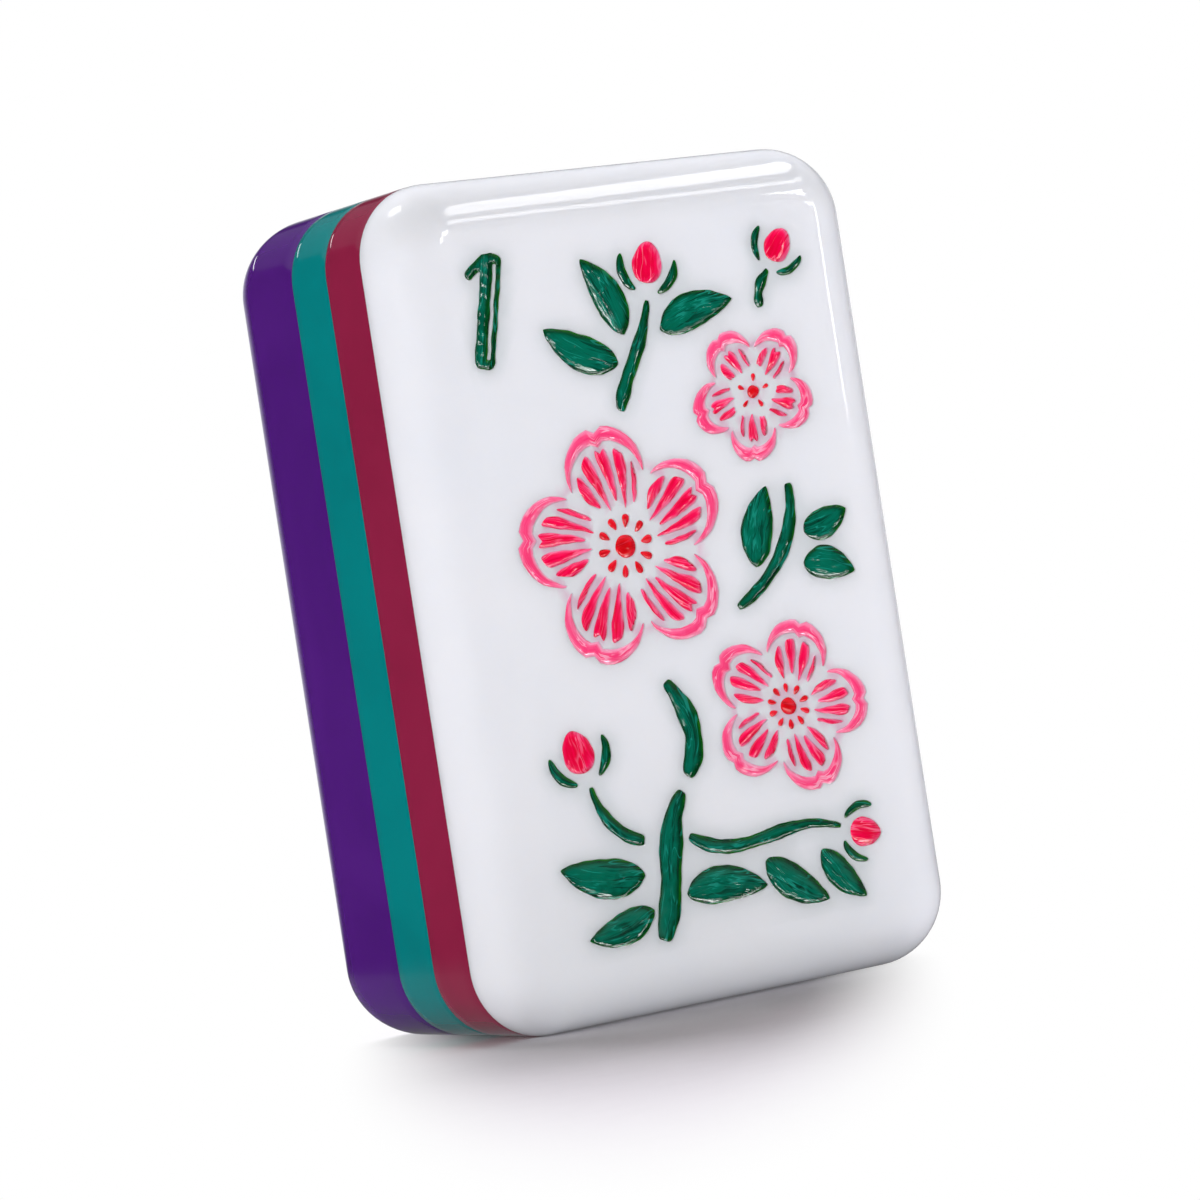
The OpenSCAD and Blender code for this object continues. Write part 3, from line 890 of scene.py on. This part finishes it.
def calculated(tree, operation, *values, clamped=False):
    """The result of a math node over one, two or three values or sockets."""
    at = dict(enumerate(values))
    return add(tree, "ShaderNodeMath", at=at, operation=operation, use_clamp=clamped).outputs[0]


def times(tree, first, second):
    """The product of two values or sockets."""
    return calculated(tree, "MULTIPLY", first, second)


def plus(tree, first, second, clamped=False):
    """The sum of two values or sockets."""
    return calculated(tree, "ADD", first, second, clamped=clamped)


def measured(tree, operation, *vectors):
    """A number worked out from one or two vectors, such as a length or a dot product."""
    at = dict(enumerate(vectors))
    return add(tree, "ShaderNodeVectorMath", at=at, operation=operation).outputs["Value"]


def eased(tree, value, low, high):
    """0 below low and 1 above high, with a smooth step between."""
    node = add(tree, "ShaderNodeMapRange", interpolation_type="SMOOTHSTEP", Value=value,
               From_Min=low, From_Max=high, To_Min=0.0, To_Max=1.0)
    return node.outputs[0]


def blended(tree, share, first, second):
    """Two colours blended by a share."""
    return add(tree, "ShaderNodeMix", data_type="RGBA", at={0: share, 6: first, 7: second}).outputs[2]


def noise(tree, vector, scale, detail=2.0, roughness=0.5, distortion=0.0):
    """Perlin noise from 0 to 1, read at a vector."""
    node = add(tree, "ShaderNodeTexNoise", Vector=vector, Scale=scale, Detail=detail,
               Roughness=roughness, Distortion=distortion)
    return node.outputs[0]


def stretched(tree, vector, scale):
    """A vector with each of its parts multiplied by a number of its own."""
    return add(tree, "ShaderNodeMapping", Vector=vector, Scale=scale).outputs[0]


def colour_steps(tree, share, steps):
    """A colour ramp through (position, colour) steps."""
    node = add(tree, "ShaderNodeValToRGB", Fac=share)
    ramp = node.color_ramp
    while len(ramp.elements) < len(steps):
        ramp.elements.new(0.5)
    for element, (position, colour) in zip(ramp.elements, steps):
        element.position = position
        element.color = colour
    return node.outputs[0]


def new_group(name, inputs, outputs):
    """An empty shader group. Inputs are (name, kind, value) and outputs are (name, kind)."""
    group = bpy.data.node_groups.new(name, "ShaderNodeTree")
    for label, kind, value in inputs:
        socket = group.interface.new_socket(label, in_out="INPUT", socket_type="NodeSocket" + kind)
        if value is not None:
            socket.default_value = value
    for label, kind in outputs:
        group.interface.new_socket(label, in_out="OUTPUT", socket_type="NodeSocket" + kind)
    return group, group.nodes.new("NodeGroupInput"), group.nodes.new("NodeGroupOutput")


def use_group(tree, group, **fields):
    """A group placed in a material with its own values."""
    node = tree.nodes.new("ShaderNodeGroup")
    node.node_tree = group
    for name, value in fields.items():
        feed(tree, node.inputs[name], value)
    return node


def give(group, result, **values):
    """The group's results, each linked to the output of its name."""
    for name, value in values.items():
        group.links.new(value, result.inputs[name])


def polish_group():
    """Hand polish on acrylic: cloudy patches of haze over a base roughness, hairline scratches that run
    mostly one way, and the slow unevenness of a buffed surface as a height."""
    group, given, result = new_group(
        "hand_polish",
        [("Vector", "Vector", None), ("Roughness", "Float", 0.1), ("Haze", "Float", 0.05)],
        [("Roughness", "Float"), ("Height", "Float")])
    vector = given.outputs["Vector"]
    haze = given.outputs["Haze"]
    cloud = noise(group, vector, 260.0, 4.0, 0.6, 0.6)
    drawn_out = stretched(group, vector, (5200.0, 5200.0, 260.0))
    scratch = eased(group, noise(group, drawn_out, 1.0, 1.0, 0.5, 0.2), 0.66, 0.8)
    patches = times(group, eased(group, cloud, 0.35, 0.75), haze)
    lines = times(group, scratch, times(group, haze, 0.8))
    rough = plus(group, given.outputs["Roughness"], plus(group, patches, lines))
    waves = noise(group, vector, 140.0, 1.0, 0.4)
    height = calculated(group, "SUBTRACT", waves, times(group, scratch, 0.02))
    give(group, result, Roughness=rough, Height=height)
    return group


def brush_group():
    """Hand-laid enamel: dark streaks and thin flow lines drawn out along the cell (pale paint in the pinks
    and red, painted highlight in the green), uneven cover where the paint is thin, mottling where it
    pools, and a wrinkled skin as a height."""
    group, given, result = new_group(
        "laid_enamel",
        [("Drawn", "Vector", None), ("Vector", "Vector", None), ("Thick", "Float", 1.0)],
        [(label, "Float") for label in ("Cover", "Streak", "Flow", "Mottle", "Height")])
    drawn = given.outputs["Drawn"]
    vector = given.outputs["Vector"]
    streak_field = noise(group, stretched(group, drawn, (0.6, 7.5, 1.0)), 1.0, 3.0, 0.55, 0.9)
    flow_field = noise(group, stretched(group, drawn, (0.45, 3.6, 1.0)), 1.0, 1.5, 0.5, 1.1)
    off_line = calculated(group, "ABSOLUTE", calculated(group, "SUBTRACT", flow_field, 0.5))
    broken = eased(group, noise(group, stretched(group, drawn, (1.1, 1.9, 1.0)), 1.0, 1.0), 0.40, 0.56)
    uneven = times(group, calculated(group, "SUBTRACT", streak_field, 0.5), 0.95)
    wrinkles = noise(group, stretched(group, drawn, (0.8, 5.5, 1.0)), 1.0, 2.0, 0.5, 1.2)
    fine = noise(group, vector, 3600.0, 1.0, 0.5)
    give(group, result,
         Cover=plus(group, given.outputs["Thick"], uneven, clamped=True),
         Streak=eased(group, streak_field, 0.50, 0.66),
         Flow=times(group, eased(group, off_line, 0.034, 0.010), broken),
         Mottle=noise(group, vector, 1500.0, 3.0, 0.6, 0.5),
         Height=plus(group, wrinkles, times(group, fine, 0.12)))
    return group


HAND_POLISH = polish_group()
LAID_ENAMEL = brush_group()


def cleared(owner):
    """The empty node tree of a material or a world."""
    owner.use_nodes = True
    owner.node_tree.nodes.clear()
    return owner.node_tree


def new_material(name):
    """A material with a Principled shader, its tree, and its Object coordinates."""
    material = bpy.data.materials.new(name)
    tree = cleared(material)
    shader = tree.nodes.new("ShaderNodeBsdfPrincipled")
    shade = tree.nodes.new("ShaderNodeOutputMaterial")
    tree.links.new(shader.outputs["BSDF"], shade.inputs["Surface"])
    vector = tree.nodes.new("ShaderNodeTexCoord").outputs["Object"]
    return material, tree, shader, vector


def raised(tree, shader, height, distance, strength):
    """A height in metres behind the shader's normal."""
    bump = add(tree, "ShaderNodeBump", Height=height, Distance=distance, Strength=strength)
    tree.links.new(bump.outputs["Normal"], shader.inputs["Normal"])


def acrylic(name, colour, cloud_colour, roughness=0.06, haze=0.03, bump_mm=0.003):
    """Cast acrylic, polished by hand: a clouded body colour, hazy patches and a faintly wavy gloss."""
    material, tree, shader, vector = new_material(name)
    polish = use_group(tree, HAND_POLISH, Vector=vector, Roughness=roughness, Haze=haze)
    swirl = eased(tree, noise(tree, vector, 90.0, 3.0, 0.55, 1.2), 0.3, 0.72)
    body = blended(tree, swirl, paint(*colour), paint(*cloud_colour))
    tree.links.new(body, shader.inputs["Base Color"])
    tree.links.new(polish.outputs["Roughness"], shader.inputs["Roughness"])
    raised(tree, shader, polish.outputs["Height"], bump_mm * MM, 1.0)
    shader.inputs["IOR"].default_value = 1.49
    return material, tree, shader, vector, body


def attribute(tree, name):
    """The value of a piece's own attribute."""
    return add(tree, "ShaderNodeAttribute", attribute_name=name).outputs["Fac"]


def white_acrylic():
    """The face block: milky white, stained pink close to the pink enamel, with painted grey shade close to
    the green.
    """
    material, tree, shader, vector, body = acrylic(
        "white_acrylic", (231, 233, 237), (228, 231, 236), roughness=0.045, bump_mm=0.002)
    patchy = eased(tree, noise(tree, vector, 900.0, 2.0, 0.5), 0.2, 0.7)
    wash = times(tree, attribute(tree, "near_pink"), plus(tree, times(tree, patchy, 0.4), 0.6))
    # Painted shade: a greenish grey laid over the white close to the green enamel
    body = blended(tree, times(tree, attribute(tree, "green_painted_shade"), 0.35), body, paint(190, 203, 204))
    body = blended(tree, wash, body, paint(230, 190, 212))
    tree.links.new(body, shader.inputs["Base Color"])
    shader.inputs["Subsurface Weight"].default_value = 0.5
    shader.inputs["Subsurface Radius"].default_value = (1.0, 0.95, 0.9)
    shader.inputs["Subsurface Scale"].default_value = 0.0014
    return material


def enamel(name, steps, dark, pale, flow_share, bump_mm):
    """Glossy enamel poured by hand: a ramp from its thin edge to its deep middle, with dark streaks and
    pale flow lines along the cell, darker pools, and a wrinkled clear skin. In the green, the pale flow
    lines are painted cyan highlight lines."""
    material, tree, shader, vector = new_material(name)
    drawn = add(tree, "ShaderNodeUVMap", uv_map="drawn").outputs["UV"]
    laid = use_group(tree, LAID_ENAMEL, Drawn=drawn, Vector=vector, Thick=attribute(tree, "thick")).outputs
    body = colour_steps(tree, laid["Cover"], [(position, paint(*colour)) for position, *colour in steps])
    pooled = times(tree, eased(tree, laid["Mottle"], 0.48, 0.75), 0.45)
    body = blended(tree, pooled, body, paint(*dark))
    body = blended(tree, times(tree, laid["Streak"], 0.7), body, paint(*dark))
    # Pale flow lines: thin paint in the pinks and red, painted cyan highlight lines in the green
    body = blended(tree, times(tree, laid["Flow"], flow_share), body, paint(*pale))
    tree.links.new(body, shader.inputs["Base Color"])
    tree.links.new(plus(tree, times(tree, laid["Streak"], 0.04), 0.05), shader.inputs["Roughness"])
    raised(tree, shader, laid["Height"], bump_mm * MM, 1.0)
    shader.inputs["IOR"].default_value = 1.52
    shader.inputs["Coat Weight"].default_value = 0.6
    shader.inputs["Coat Roughness"].default_value = 0.03
    return material


# Each enamel's ramp of places and screen colours, its dark and pale brush colours (the green's pale one
# is a painted cyan highlight), how much its flow lines show, and the height of its wrinkles in millimetres
ENAMELS = {
    "green_enamel": (
        [(0.0, 34, 112, 18), (0.16, 2, 82, 26), (0.42, 0, 70, 42), (0.75, 0, 98, 74), (1.0, 0, 106, 84)],
        (0, 34, 20), (30, 160, 140), 0.55, 0.026),
    "hot_pink_enamel": (
        [(0.0, 254, 140, 180), (0.15, 253, 76, 132), (0.4, 248, 24, 92), (0.8, 244, 2, 76),
         (1.0, 236, 0, 64)],
        (222, 0, 48), (255, 140, 180), 0.5, 0.016),
    "pale_pink_enamel": (
        [(0.0, 246, 168, 198), (0.25, 250, 128, 168), (0.6, 250, 88, 140), (1.0, 250, 66, 124)],
        (247, 52, 114), (252, 196, 218), 0.65, 0.018),
    "red_enamel": (
        [(0.0, 240, 46, 74), (0.2, 234, 16, 36), (0.6, 222, 10, 24), (1.0, 208, 6, 18)],
        (176, 2, 10), (246, 60, 84), 0.4, 0.018),
}


# The pieces

cells = all_cells()
fitted(make_white_face(cells, white_acrylic()), "face_block")

# The layers behind the face: piece, profile, node, slot, and the acrylic's two screen colours
for name, profile, node, slot, colour, cloud_colour in (
        ("burgundy_band", band_profile(burgundy_from, teal_from), "burgundy_layer", "burgundy_acrylic",
         (139, 31, 65), (131, 27, 60)),
        ("teal_band", band_profile(teal_from, back_from), "teal_layer", "teal_acrylic",
         (0, 126, 126), (0, 118, 119)),
        ("purple_back", back_profile(), "back_block", "purple_acrylic",
         (77, 27, 119), (71, 22, 112))):
    fitted(make_layer(name, profile, acrylic(slot, colour, cloud_colour)[0]), node)

enamels = {name: enamel(name, *row) for name, row in ENAMELS.items()}
fitted(make_numeral(enamels["green_enamel"]), "numeral_enamel")

# How each kind of cell is filled: its slot, how square its hollow is, its depth and its ripples in
# millimetres. The first word that a node's name holds decides.
FILLS = {
    "leaves": ("green_enamel", 5, 0.10, 0.010),
    "trunk": ("green_enamel", 4, 0.11, 0.013),
    "twigs": ("green_enamel", 4, 0.11, 0.012),
    "cups": ("green_enamel", 4, 0.10, 0.010),
    "rims": ("pale_pink_enamel", 3, 0.08, 0.009),
    "heart": ("red_enamel", 3, 0.12, 0.012),
    "strokes": ("hot_pink_enamel", 3, 0.11, 0.011),
    "buds": ("hot_pink_enamel", 4, 0.14, 0.013),
}
for node, group in cells.items():
    slot, *shape = next(fill for word, fill in FILLS.items() if word in node)
    fitted(make_enamel(node.replace("_enamel", "") + "_fill", group, enamels[slot], *shape), node)


# Studio

# Level directions from the tile's middle: past it as the photograph looks, and the same view's right
away_from_camera = (0.50, 0.86, 0.0)
to_the_right = (0.86, -0.50, 0)


def panel(name, way, distance_mm, wide_mm, high_mm, power, tint=(1, 1, 1)):
    """A rectangular area lamp that faces the tile's middle from a direction, unseen by the camera."""
    way = Vector(way).normalized()
    data = bpy.data.lights.new(name, "AREA")
    data.shape = "RECTANGLE"
    data.size = wide_mm * MM
    data.size_y = high_mm * MM
    data.energy = power
    data.color = tint
    lamp = in_scene(name, data)
    lamp.location = Vector((0, 0, tile_h * MM / 2)) + way * distance_mm * MM
    lamp.rotation_euler = way.to_track_quat("Z", "Y").to_euler()
    lamp.visible_camera = False
    return lamp


def softbox(name, way, distance_mm, wide_mm, high_mm, level, tint=(1, 1, 1)):
    """A lamp for light alone, behind black cloth as seen in the gloss. Its level is the share of full
    white that it alone brings to a surface facing it."""
    power = level * (math.pi * distance_mm * MM) ** 2
    panel(name, way, distance_mm, wide_mm, high_mm, power, tint).visible_glossy = False


def reflector(name, way, distance_mm, wide_mm, high_mm, brightness):
    """A bright card for the gloss alone. Its brightness is counted in full whites."""
    power = brightness * math.pi * wide_mm * high_mm * MM ** 2
    panel(name, way, distance_mm, wide_mm, high_mm, power).visible_diffuse = False


# Each has its direction from the tile's middle, then its distance, width and height in millimetres
softbox("front_softbox", (0.05, -1.0, 0.07), 300, 220, 80, 0.69)
softbox("left_softbox", (-0.92, 0.36, 0.12), 300, 160, 130, 0.72)
softbox("back_softbox", (0.23, 0.54, 0.81), 380, 270, 315, 1.95, (0.965, 0.955, 1.0))
reflector("high_strip", (0.50, -0.24, 0.83), 220, 150, 36, 5.2)
reflector("low_strip", (0.54, -0.54, 0.66), 220, 150, 18, 4.6)
reflector("glint_card", (0.62, -0.66, 0.42), 260, 46, 34, 13.0)
reflector("high_glint_card", (0.20, -0.86, 0.47), 260, 40, 26, 11.0)
reflector("low_glint_card", (0.70, -0.67, 0.22), 260, 40, 12, 13.0)
reflector("right_glint_card", (0.80, -0.58, 0.16), 260, 12, 60, 13.0)
reflector("left_glint_card", (0.12, -0.93, 0.35), 260, 16, 30, 13.0)
reflector("corner_card", (-0.05, 0.92, 0.38), 260, 60, 5, 4.0)
reflector("crown_card", (-0.30, 0.24, 0.90), 260, 60, 60, 6.0)


def studio_wall(tree, way):
    """What mirrored rays see of the studio: a pale grey wall behind the tile, a dimmer ceiling over it
    that falls off towards the back, and dark cloth all round."""
    parts = add(tree, "ShaderNodeSeparateXYZ", Vector=way).outputs
    facing = eased(tree, measured(tree, "DOT_PRODUCT", way, away_from_camera), 0.78, 0.99)
    low = eased(tree, calculated(tree, "ABSOLUTE", parts["Z"]), 0.32, 0.12)
    behind = plus(tree, times(tree, eased(tree, parts["Y"], 0.95, 0.6), 0.85), 0.15)
    over = times(tree, eased(tree, parts["Y"], -0.3, 0.2), behind)
    ceiling = times(tree, eased(tree, parts["Z"], 0.35, 0.38), over)
    dim = blended(tree, ceiling, paint(40, 40, 42), paint(178, 180, 186))
    return blended(tree, times(tree, facing, low), dim, paint(200, 202, 206))


def mirrored_rays(tree, seen):
    """1 for a ray that a gloss or a clear body sends on, and 0 for any other."""
    return plus(tree, seen["Is Glossy Ray"], seen["Is Transmission Ray"], clamped=True)


def make_floor():
    """The pale table: a plane that keeps the tile's shadow in an oval round it and goes over to plain
    white further away, so that it has no far edge. To mirrored rays it glows with painted reflection
    colours: a fixed dim grey close to the tile, and the studio beyond. Lengths are in metres."""
    half = 3.0
    shadow_middle = (0.0020, 0.0046, 0)
    shadow_long = 0.060
    shadow_wide = 0.0112
    close_floor = 0.020
    far_floor = 0.045
    mesh = bpy.data.meshes.new("floor")
    corners = [(-half, -half, 0), (half, -half, 0), (half, half, 0), (-half, half, 0)]
    mesh.from_pydata(corners, [], [(0, 1, 2, 3)])
    material = bpy.data.materials.new("pale_table")
    tree = cleared(material)
    vector = tree.nodes.new("ShaderNodeTexCoord").outputs["Object"]
    colour = blended(tree, noise(tree, vector, 900.0, 2.0), paint(216, 213, 217), paint(212, 209, 213))
    table = add(tree, "ShaderNodeBsdfDiffuse", Color=colour)

    offset = add(tree, "ShaderNodeVectorMath", operation="SUBTRACT", at={0: vector, 1: shadow_middle})
    along = measured(tree, "DOT_PRODUCT", offset.outputs[0], away_from_camera)
    across = measured(tree, "DOT_PRODUCT", offset.outputs[0], to_the_right)
    oval = add(tree, "ShaderNodeCombineXYZ", X=calculated(tree, "DIVIDE", along, shadow_long),
               Y=calculated(tree, "DIVIDE", across, shadow_wide)).outputs[0]
    away = eased(tree, measured(tree, "LENGTH", oval), 0.5, 1.0)

    seen = tree.nodes.new("ShaderNodeLightPath").outputs
    mirrored = mirrored_rays(tree, seen)
    way = add(tree, "ShaderNodeVectorMath", operation="NORMALIZE", at={0: vector}).outputs[0]
    close = eased(tree, measured(tree, "LENGTH", vector), far_floor, close_floor)
    # Painted reflection: mirrored rays see a fixed glowing grey near the tile, not the lit and shaded
    # table
    painted_reflection_colour = blended(tree, close, studio_wall(tree, way), paint(116, 115, 118))
    plain = add(tree, "ShaderNodeEmission", Strength=1.0,
                Color=blended(tree, mirrored, (1, 1, 1, 1), painted_reflection_colour))
    share = plus(tree, mirrored, times(tree, seen["Is Camera Ray"], away), clamped=True)
    shade = add(tree, "ShaderNodeMixShader", at={0: share, 1: table.outputs[0], 2: plain.outputs[0]})
    result = tree.nodes.new("ShaderNodeOutputMaterial")
    tree.links.new(shade.outputs[0], result.inputs["Surface"])
    mesh.materials.append(material)
    floor = in_scene("floor", mesh)


def light_world():
    """White to the camera, a soft warm fill on surfaces, and the studio's walls in mirrored rays."""
    world = bpy.data.worlds.new("studio")
    bpy.context.scene.world = world
    tree = cleared(world)
    wall = studio_wall(tree, tree.nodes.new("ShaderNodeTexCoord").outputs["Generated"])
    fill, mirrored, white = (
        add(tree, "ShaderNodeBackground", Color=colour, Strength=strength).outputs[0]
        for colour, strength in ((paint(255, 248, 240), 0.12), (wall, 1.0), ((1, 1, 1, 1), 1.0)))
    seen = tree.nodes.new("ShaderNodeLightPath").outputs
    soft = add(tree, "ShaderNodeMixShader", at={0: mirrored_rays(tree, seen), 1: fill, 2: mirrored})
    whole = add(tree, "ShaderNodeMixShader", at={0: seen["Is Camera Ray"], 1: soft.outputs[0], 2: white})
    result = tree.nodes.new("ShaderNodeOutputWorld")
    tree.links.new(whole.outputs[0], result.inputs["Surface"])


make_floor()
light_world()
bpy.context.scene.view_settings.view_transform = "Standard"
